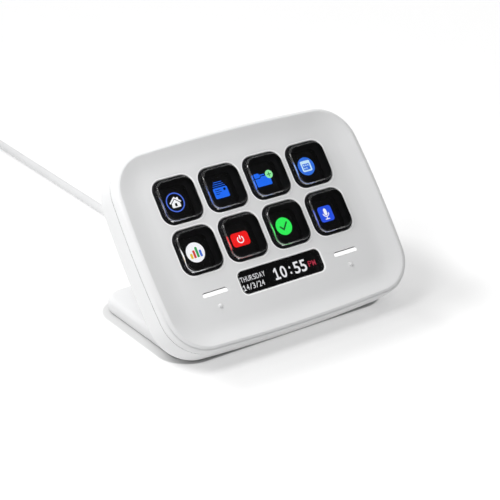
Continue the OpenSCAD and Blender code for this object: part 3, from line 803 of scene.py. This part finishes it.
def icons():
    ring = colour(74, 110, 226)
    home = [
        (ring, 0, [circle(3.72, k=56), circle(3.28, k=56)]),
        (WHT, 0, [[(-2.45, 0.05), (-2.1, -0.35), (0, 1.45), (2.1, -0.35), (2.45, 0.05), (1.6, 0.78), (1.6, 1.7), (0.95, 1.7), (0.95, 1.35), (0, 2.15)]]),
        (WHT, 0, [[(-1.75, -0.45), (-1.75, -1.75), (-1.55, -1.95), (1.55, -1.95), (1.75, -1.75), (1.75, -0.45), (0, 1.08)],
                  [(-0.48, -1.5), (0.48, -1.5), (0.48, -0.55), (0.3, -0.3), (-0.3, -0.3), (-0.48, -0.55)]]),
    ]
    stack = [
        (BLU, 0, [soft(6.1, 4.1, 0.55, 0, -1.0, 5), circle(0.52, 1.75, 0.05, 20), stroke([(-2.2, 0.15), (-0.1, 0.15)], 0.26),
                  stroke([(-2.2, -0.6), (0.1, -0.6)], 0.26), stroke([(-2.2, -1.35), (-0.9, -1.35)], 0.26)]),
        (BLU, 0, [soft(5.3, 0.24, 0.11, -0.05, 1.65, 4)]),
        (BLU, 0, [soft(4.5, 0.24, 0.11, -0.1, 2.4, 4)]),
        (BLU, 0, [soft(3.6, 0.24, 0.11, -0.15, 3.15, 4)]),
    ]
    leaf, plus = colour(150, 243, 165), colour(24, 122, 52)
    folder = [
        (BLU, 0, [[(-3.95, 0.45), (-3.95, 1.95), (-3.7, 2.25), (-1.85, 2.25), (-1.45, 1.6), (0.6, 1.6), (0.6, 1.15), (-1.3, 1.15), (-1.85, 0.45)]]),
        (BLU, 0, [[(-3.95, 0.15), (-3.95, -2.65), (-3.7, -2.95), (2.35, -2.95), (2.65, -2.65), (2.65, 0.4), (2.4, 0.7), (-1.15, 0.85), (-1.7, 0.15)]]),
        (leaf, 1, [circle(1.62, 2.6, 0.95, 36)]),
        (plus, 2, [[(1.7, 0.79), (2.44, 0.79), (2.44, 0.05), (2.76, 0.05), (2.76, 0.79), (3.5, 0.79), (3.5, 1.11), (2.76, 1.11), (2.76, 1.85), (2.44, 1.85),
                    (2.44, 1.11), (1.7, 1.11)]]),
    ]
    disc, pale = colour(44, 112, 228), colour(205, 236, 255)
    day = [
        (disc, 0, [circle(3.6, k=56)]),
        (pale, 1, [soft(4.3, 4.3, 0.6, 0, 0.1, 5), soft(3.1, 2.5, 0.2, 0, -0.2, 4)]),
    ] + [(pale, 1, [soft(0.5, 0.5, 0.1, x, y, 3)]) for x, y in ((-0.95, 0.4), (0.0, 0.4), (0.95, 0.4), (-0.95, -0.7), (0.0, -0.7))]
    bars = [(WHT, 0, [circle(3.75, k=56)])] + [
        (colour(*c), 1, [soft(0.95, h, 0.25, x, -2.0 + h / 2, 4)])
        for x, h, c in ((-1.95, 1.9, (232, 200, 40)), (-0.65, 2.9, (214, 52, 44)), (0.65, 3.9, (40, 158, 76)), (1.95, 2.5, (58, 110, 214)))]
    red = colour(248, 17, 18)
    power = [
        (red, 0, [soft(7.5, 5.2, 1.25, 0, 0, 8)]),
        (WHT, 1, [bow(0, -0.15, 1.02, 1.42, 125, 415, 26)]),
        (WHT, 1, [stroke([(0, 0.15), (0, 1.35)], 0.42)]),
    ]
    green, dark = colour(46, 246, 90), colour(8, 70, 26)
    tick = [
        (green, 0, [circle(3.42, k=56)]),
        (dark, 1, [stroke([(-1.6, 0.05), (-0.45, -1.2), (1.65, 1.25)], 0.6)]),
    ]
    blue = colour(34, 82, 232)
    mic = [
        (blue, 0, [soft(6.1, 6.1, 1.15, 0, 0, 8)]),
        (WHT, 1, [soft(1.35, 2.7, 0.66, 0, 0.75, 8)]),
        (WHT, 1, [bow(0, 0.25, 1.1, 1.45, 180, 360, 18)]),
        (WHT, 2, [stroke([(0, -1.15), (0, -1.85)], 0.36)]),
        (WHT, 1, [stroke([(-0.85, -2.05), (0.85, -2.05)], 0.36)]),
    ]
    return [home, stack, folder, day, bars, power, tick, mic]


for i, layers in enumerate(icons()):
    picture(f"key_{i + 1}_picture", layers, KEYS[i][0] - 0.38, KEYS[i][1] - 0.24)


ONE = [(0.05, 0.0), (0.95, 0.0), (0.95, 0.16), (0.62, 0.16), (0.62, 1.0), (0.42, 1.0), (0.08, 0.8), (0.08, 0.62), (0.36, 0.78), (0.36, 0.16), (0.05, 0.16)]


def sign(ch, weight):
    """The outline of one sign as a mesh: points in a unit box and faces."""
    cu = bpy.data.curves.new("sign", "FONT")
    cu.body, cu.size, cu.offset, cu.extrude, cu.resolution_u = ch, 1.0, weight, 0.01, 4
    o = bpy.data.objects.new("sign", cu)
    scene.collection.objects.link(o)
    bpy.context.view_layer.update()
    dg = bpy.context.evaluated_depsgraph_get()
    me = bpy.data.meshes.new_from_object(o.evaluated_get(dg), depsgraph=dg)
    bpy.data.objects.remove(o)
    xs, ys = [p.co.x for p in me.vertices], [p.co.y for p in me.vertices]
    lo_x, hi_x, lo_y, hi_y = min(xs), max(xs), min(ys), max(ys)
    pts = [((p.co.x - lo_x) / (hi_x - lo_x), (p.co.y - lo_y) / (hi_y - lo_y), p.co.z > 0) for p in me.vertices]
    faces = [tuple(f.vertices) for f in me.polygons]
    bpy.data.meshes.remove(me)
    return pts, faces


def lettering(name, text, x0, x1, v0, v1, mat, weight, wide=0.86):
    """Signs in equal cells on the display's face, as thin closed solids."""
    b = Build()
    cell = (x1 - x0) / (len(text) - 1 + wide)
    low, high = LCD_N + 0.004, LCD_N + 0.02
    for j, ch in enumerate(text):
        a, w, c, h = x0 + j * cell, cell * wide, v0, v1 - v0
        if ch == ":":
            a, w, c, h = a + w * 0.36, w * 0.3, c + h * 0.12, h * 0.66
        if ch == "1":
            loop = [(a + w * x, c + h * y) for x, y in ONE]
            ids = [b.ring(lifted(loop, n)) for n in (low, high)]
            b.bridge(*ids)
            for row in ids:
                b.sheet([loop], [row])
            continue
        pts, faces = sign(ch, weight)
        k = len(b.v)
        b.v += [F(a + w * x, c + h * y, high if up else low) for x, y, up in pts]
        for f in faces:
            b.face([i + k for i in f])
    o = made(name, b, [mat], 30)
    bm = bmesh.new()
    bm.from_mesh(o.data)
    bmesh.ops.remove_doubles(bm, verts=bm.verts, dist=1e-7)
    bmesh.ops.recalc_face_normals(bm, faces=bm.faces)
    bm.to_mesh(o.data)
    bm.free()
    place(o, "display_glass")
    return o


# apparent places on the window, and how far the depth of the display moves them
DX, DV = 1.3, 0.46
lettering("info_day", "THURSDAY", -17.5 + DX, -6.8 + DX, -25.85 + DV, -23.9 + DV, WHT, 0.0, 0.8)
lettering("info_date", "14/3/24", -17.5 + DX, -8.3 + DX, -29.0 + DV, -26.85 + DV, WHT, 0.0, 0.8)
lettering("info_time", "10:55", -3.4 + DX, 11.25 + DX, -28.65 + DV, -24.15 + DV, WHT, 0.014)
lettering("info_half", "PM", 12.2 + DX, 15.5 + DX, -27.6 + DV, -25.45 + DV, colour(176, 44, 66), 0.01)


# ---------------------------------------------------------------- lead
def turned_at(b, profile, at, along, mat=0, k=28):
    """Turns a profile of (radius, distance) about a line in the row frame."""
    t = Vector(along).normalized()
    s = t.cross(Vector((1, 0, 0))).normalized() if abs(t.x) < 0.9 else t.cross(Vector((0, 0, 1))).normalized()
    u = t.cross(s)
    o = Vector(at)

    def spot(x, y, d):
        return (o + s * x + u * y + t * d) * MM

    return turned(b, profile, 0, 0, mat, k, spot)


ROUTE = [(0, 2.5, 13.3), (0, 4.9, 11.35), (0, 6.5, 10.2), (0, 8.4, 9.1), (0, 10.6, 8.3), (0, 13.2, 7.8), (0, 16, 7.65),
         (0, 21, 7.6), (0, 27, 7.6), (0, 33, 7.6), (0, 37, 7.3), (0, 42, 6.2), (-0.1, 47, 4.8), (-0.2, 54, 3.2),
         (-0.3, 61, 2.2), (-0.35, 69, 1.8)] + [(-0.4, y, 1.7) for y in range(78, 229, 10)]
TAIL = [(-54.8, 228, 4.9), (-54.8, 224, 4.5), (-54.8, 220, 3.7), (-54.8, 216, 3.2), (-54.8, 212, 3.0)]


def lead_path():
    pts = smooth(ROUTE, 4, after=(-0.4, 238, 1.7))
    k = 40
    inner, outer = 13.6, 27.2

    def at(r, a, z):
        return (COIL_X + r * math.cos(a), COIL_Y + r * math.sin(a), z)

    for i in range(4 * k):
        a = 2 * math.pi * i / k
        pts.append(at(outer - LEAD_D * i / k, a, 1.7))
    for i in range(k):
        s = i / k
        pts.append(at(inner, 2 * math.pi * s, 1.7 + LEAD_D * math.sqrt(1 - (1 - s) ** 2)))
    for i in range(4 * k):
        a = 2 * math.pi * i / k
        pts.append(at(inner + LEAD_D * i / k, a, 5.1))
    for i in range(k // 2 + 1):
        pts.append(at(outer, 2 * math.pi * i / k, 5.1))
    pts += smooth([(-54.8, 236, 5.1)] + TAIL, 4, after=(-54.8, 208, 3.0), before=(-54.8, 244, 5.1))[1:]
    return pts


path = lead_path()
cu = bpy.data.curves.new("lead", "CURVE")
cu.dimensions = "3D"
cu.bevel_depth, cu.bevel_resolution, cu.use_fill_caps = LEAD_D / 2 * MM, 6, True
sp = cu.splines.new("POLY")
sp.points.add(len(path) - 1)
for p, q in zip(sp.points, path):
    p.co = (q[0] * MM, q[1] * MM, q[2] * MM, 1)
sp.use_smooth = True
lead = bpy.data.objects.new("lead", cu)
lead.data.materials.append(M["jacket"])
scene.collection.objects.link(lead)
place(lead, "lead_jacket", "cord_tube", "cord_coil", "cord_tail")


def relief():
    """The tapered, grooved sleeve round the lead where it leaves the cover, with the collar that holds it inside."""
    rows = [(0.0, 11.0), (1.75, 11.0), (2.0, 10.9), (2.1, 10.6)]
    base, tip, n = 2.9, 2.1, 6
    for j in range(n):
        d0 = 10.2 - j * 1.45
        r0 = tip + (base - tip) * (11 - d0) / 10
        rows += [(r0, d0), (r0 - 0.42, d0 - 0.08), (r0 - 0.42, d0 - 0.42), (r0 + 0.05, d0 - 0.5)]
    rows += [(2.85, 1.5), (2.95, 1.15), (3.15, 1.0), (3.3, 0.85), (3.3, 0.1), (3.25, 0.05), (2.55, 0.05), (2.55, -1.9), (3.2, -1.95), (3.2, -5.6), (3.0, -5.75), (0.0, -5.75)]
    b = Build()
    out = Vector((0, ST, -CT))
    start = F(0, EXIT_V, -BACK_N) / MM
    turned_at(b, rows, start, out, k=36)
    return b


sleeve = weighted(made("lead_sleeve", relief(), [M["boot"]], 30))
place(sleeve, "white_rubber", "strain_relief")


def boot():
    rows = [(0.0, 0.0), (1.75, 0.0), (1.95, 0.2)]
    for j in range(4):
        d = 1.4 + 1.5 * j
        r = 1.95 + 0.75 * d / 10
        rows += [(r, d), (r - 0.3, d + 0.1), (r - 0.3, d + 0.5), (r + 0.03, d + 0.6)]
    rows += [(2.6, 8.6), (2.7, 9.9), (2.7, 10.0), (0.0, 10.0)]
    b = Build()
    turned_at(b, rows, (-54.8, 214, 3), (0, -1, 0))
    return b


plug_boot = weighted(made("plug_sleeve", boot(), [M["boot"]], 30))
place(plug_boot, "white_rubber", "plug_boot")


def along_plug(w, h, r, y, p=2.0):
    return [P(-54.8 + x, y, 3 + z) for x, z in soft(w, h, r, k=8, p=p)]


b = Build()
rows = [(1.0, 203.98), (0.4, 203.85), (0.1, 203.5), (0.0, 203.0), (0.0, 199), (0.0, 194), (0.0, 187.0), (0.08, 186.5), (0.3, 186.15), (0.7, 186.0)]
b.loft([along_plug(11 - 2 * i, 6 - 2 * i, 2.7 - 0.9 * i, y, 2.3) for i, y in rows])
for z, s in ((6, 1), (0, -1)):
    # shallow grip pads on the body's flats
    b.loft([[P(-54.8 + x, 195 + y, z - s * d) for x, y in soft(6.4 - 2 * i, 9 - 2 * i, 1.6 - i, k=6)] for i, d in ((0.0, 0.3), (0.0, 0.02), (0.12, 0.0))])
plug_body = weighted(made("plug_grip", b, [M["shell"]], 35))
place(plug_body, "white_shell", "plug_body")

b = Build()
tube = [(8.3, 2.6, 185.98), (8.3, 2.6, 179.6), (8.2, 2.5, 179.42), (7.9, 2.2, 179.4), (7.65, 1.95, 179.55), (7.6, 1.9, 180.2), (7.6, 1.9, 185.4)]
b.loft([along_plug(w, h, h / 2 - 0.02, y) for w, h, y in tube])
plug_shell = weighted(made("plug_tip", b, [M["plug"]], 35))
place(plug_shell, "plug_steel", "plug_shell")
b = Build()
b.loft([along_plug(6.6, 0.62, 0.28, 185.3), along_plug(6.6, 0.62, 0.28, 180.7), along_plug(6.3, 0.4, 0.18, 180.4)])
for i in range(12):
    for s in (-1, 1):
        b.loft([[P(-54.8 - 2.75 + 0.5 * i + x, y, 3 + s * z) for x, z in ((-0.13, 0.28), (0.13, 0.28), (0.13, 0.34), (-0.13, 0.34))] for y in (185.2, 181.0)], 1)
tongue = made("plug_contacts", b, [M["black"], M["gold"]], 35)
place(tongue, "plug_steel")


def tie():
    """A soft strap round the bundle, its end laid over itself."""
    yc = COIL_Y + 20.4
    half, low, high, r, th = 8.95, 0.25, 7.35, 2.6, 0.42

    def loop(o):
        pts = []
        for sx, sz, a0 in ((1, 1, 0), (-1, 1, 90), (-1, -1, 180), (1, -1, 270)):
            for i in range(9):
                a = math.radians(a0 + 90 * i / 8)
                rr = r if sz > 0 else 1.2
                pts.append((sx * (half - rr) + (rr + o) * math.cos(a), (high - rr if sz > 0 else low + rr) + (rr + o) * math.sin(a) * 1.0))
        return pts

    b = Build()
    rings = [b.ring([P(COIL_X + x, yc + y, z) for y, z in loop(o)]) for x, o in ((-4.0, -0.1), (-4.0, 0.1), (-3.85, th / 2), (3.85, th / 2), (4.0, 0.1), (4.0, -0.1), (3.85, -th / 2), (-3.85, -th / 2))]
    for p, q in zip(rings, rings[1:] + rings[:1]):
        b.bridge(p, q)
    # the overlapping end on top
    b.loft([[P(COIL_X + x, yc + y, high + th / 2 + d) for x, y in soft(7.4 - 2 * i, 9.5 - 2 * i, 1.6 - i, 0.0, -0.6, 6)] for i, d in ((0.0, -0.05), (0.0, 0.16), (0.12, 0.22))])
    return b


strap = weighted(made("lead_strap", tie(), [M["strap"]], 40))
place(strap, "tie_strap", "cord_tie")

# ---------------------------------------------------------------- finishes of the CAD pieces that stay
for name, m in {"key_guide": "black", "contact_sheet": "mask", "touch_films": "film", "lcd_glass": "display", "lcd_backlight": "backlight",
                "lcd_frame": "frame", "lcd_flex": "film", "frame_screws": "steel", "main_board": "board", "board_chips": "chip",
                "flex_connector": "ivory", "lead_connector": "ivory", "board_screws": "steel", "inner_leads": "leads", "cover_screws": "steel",
                "stand_screws": "steel", "ballast_plate": "ballast"}.items():
    o = NODES[name]
    o.data.materials.clear()
    o.data.materials.append(M[m])
for name, w in {"frame_screws": 0.12, "board_screws": 0.12, "cover_screws": 0.15, "stand_screws": 0.15, "board_chips": 0.06, "flex_connector": 0.15,
                "lead_connector": 0.15, "main_board": 0.08, "lcd_frame": 0.12, "ballast_plate": 0.3}.items():
    o = NODES[name]
    bev = o.modifiers.new("edge", "BEVEL")
    bev.width, bev.segments, bev.limit_method, bev.angle_limit = w * MM, 2, "ANGLE", math.radians(40)
    bev.use_clamp_overlap = True
    bev.harden_normals = False

# ---------------------------------------------------------------- floor and light
def paint_floor_shadow(m, patches):
    """Paints shadow into a floor's glow: the glow fades out in each patch, under the part and beside it, as painted
    shade.
    """
    t = m.node_tree
    b = next(n for n in t.nodes if n.type == "BSDF_PRINCIPLED")

    def calc(op, p, q=0.0):
        n = t.nodes.new("ShaderNodeMath")
        n.operation = op
        for socket, value in zip(n.inputs, (p, q)):
            if isinstance(value, (int, float)):
                socket.default_value = value
            else:
                t.links.new(value, socket)
        return n.outputs[0]

    pos = t.nodes.new("ShaderNodeTexCoord")
    axes = t.nodes.new("ShaderNodeSeparateXYZ")
    t.links.new(pos.outputs["Object"], axes.inputs[0])
    left = b.inputs["Emission Strength"].default_value
    for cx, cy, hx, hy, r, wide, least in patches:
        dx = calc("MAXIMUM", calc("SUBTRACT", calc("ABSOLUTE", calc("SUBTRACT", axes.outputs["X"], cx * MM)), hx * MM), 0.0)
        dy = calc("MAXIMUM", calc("SUBTRACT", calc("ABSOLUTE", calc("SUBTRACT", axes.outputs["Y"], cy * MM)), hy * MM), 0.0)
        far = calc("SQRT", calc("ADD", calc("MULTIPLY", dx, dx), calc("MULTIPLY", dy, dy)))
        mr = t.nodes.new("ShaderNodeMapRange")
        mr.interpolation_type = "SMOOTHSTEP"
        mr.inputs["From Min"].default_value, mr.inputs["From Max"].default_value = r * MM, (r + wide) * MM
        mr.inputs["To Min"].default_value, mr.inputs["To Max"].default_value = least, 1.0
        t.links.new(far, mr.inputs["Value"])
        left = calc("MULTIPLY", mr.outputs["Result"], left)
    t.links.new(left, b.inputs["Emission Strength"])


fl = Build()
fl.face(fl.ring([Vector((-2.5, -2.5, 0)), Vector((2.5, -2.5, 0)), Vector((2.5, 2.5, 0)), Vector((-2.5, 2.5, 0))]))
floor = made("floor", fl, [finish_of("floor_white_painted_shadow", (0.624, 0.624, 0.624), 0.7, 0.02, shade=0.002, grain=20, glow=0.38)])
# painted shadows in the floor's glow: contact shade under the body's lower edge and the foot, and two soft painted
# shadows beside and in front of the body: centre, half widths and corner radius, width of the fade and what is left of
# the glow
paint_floor_shadow(floor.data.materials[0], [
    (0, 5.5, 36.5, 17.6, 12, 1.0, 0.0), (0, 8.85, 37.5, 17.35, 7.5, 4.6, 0.0), (66, -12, 2, 16, 4, 28, 0.4), (6, -42, 40, 1, 1, 17, 0.55)])

# soft boxes close by: direction from the part as azimuth and elevation in degrees, distance and width in metres, power in watts
BOXES = [(190, 50, 0.24, 0.12, 0.321)]
for i, (a, e, far, wide, watts) in enumerate(BOXES):
    a, e = math.radians(a), math.radians(e)
    away = Vector((math.cos(a) * math.cos(e), math.sin(a) * math.cos(e), math.sin(e)))
    la = bpy.data.lights.new(f"soft_box_{i + 1}", "AREA")
    la.shape, la.size, la.energy = "DISK", wide, watts
    lamp = bpy.data.objects.new(f"soft_box_{i + 1}", la)
    scene.collection.objects.link(lamp)
    lamp.location = F(0, 0, 0) + away * far
    lamp.rotation_mode = "QUATERNION"
    lamp.rotation_quaternion = (-away).to_track_quat("-Z", "Y")

LOBES = [((0, 0, 1), 1.0, 0.647), ((-1, 0, 0.35), 3.0, 0.109), ((0, 1, 0.35), 3.0, 0.889), ((-0.7, 0.7, 0.5), 4.0, 0.592), ((0.683, 0.683, 0.2588), 10.0, 1.09), ((0.0, 0.9659, 0.2588), 10.0, 0.858), ((-0.683, 0.683, 0.2588), 10.0, 0.701), ((0.6691, 0.0, 0.7431), 10.0, 0.906), ((0.0, -0.6691, 0.7431), 10.0, 1.379), ((0.4731, -0.4731, 0.7431), 10.0, 1.113), ((0, 0, 1), 10.0, 0.569)]
DARK = Vector((0.5235, -0.547, 0.6536))
world = bpy.data.worlds.new("studio")
scene.world = world
world.use_nodes = True
t = world.node_tree
t.nodes.clear()
wout = t.nodes.new("ShaderNodeOutputWorld")
bg = t.nodes.new("ShaderNodeBackground")
t.links.new(bg.outputs["Background"], wout.inputs["Surface"])
coord = t.nodes.new("ShaderNodeTexCoord")
total = None
for d, power, weight in LOBES:
    dot = t.nodes.new("ShaderNodeVectorMath")
    dot.operation = "DOT_PRODUCT"
    dot.inputs[1].default_value = Vector(d).normalized()
    t.links.new(coord.outputs["Generated"], dot.inputs[0])
    keep = t.nodes.new("ShaderNodeMath")
    keep.operation = "MAXIMUM"
    keep.inputs[1].default_value = 0.0
    t.links.new(dot.outputs["Value"], keep.inputs[0])
    pw = t.nodes.new("ShaderNodeMath")
    pw.operation = "POWER"
    pw.inputs[1].default_value = power
    t.links.new(keep.outputs[0], pw.inputs[0])
    w = t.nodes.new("ShaderNodeMath")
    w.operation = "MULTIPLY"
    w.inputs[1].default_value = weight
    t.links.new(pw.outputs[0], w.inputs[0])
    if total is None:
        total = w.outputs[0]
    else:
        add = t.nodes.new("ShaderNodeMath")
        add.operation = "ADD"
        t.links.new(total, add.inputs[0])
        t.links.new(w.outputs[0], add.inputs[1])
        total = add.outputs[0]
dot = t.nodes.new("ShaderNodeVectorMath")
dot.operation = "DOT_PRODUCT"
dot.inputs[1].default_value = DARK.normalized()
t.links.new(coord.outputs["Generated"], dot.inputs[0])
mr = t.nodes.new("ShaderNodeMapRange")
mr.interpolation_type = "SMOOTHSTEP"
mr.inputs["From Min"].default_value, mr.inputs["From Max"].default_value = math.cos(math.radians(32)), math.cos(math.radians(18))
mr.inputs["To Min"].default_value, mr.inputs["To Max"].default_value = 1.0, 0.03
t.links.new(dot.outputs["Value"], mr.inputs["Value"])
mul = t.nodes.new("ShaderNodeMath")
mul.operation = "MULTIPLY"
t.links.new(total, mul.inputs[0])
t.links.new(mr.outputs["Result"], mul.inputs[1])
t.links.new(mul.outputs[0], bg.inputs["Strength"])

scene.view_settings.view_transform = "Standard"
scene.view_settings.look = "None"
scene.view_settings.exposure = 0.0
scene.view_settings.gamma = 1.0
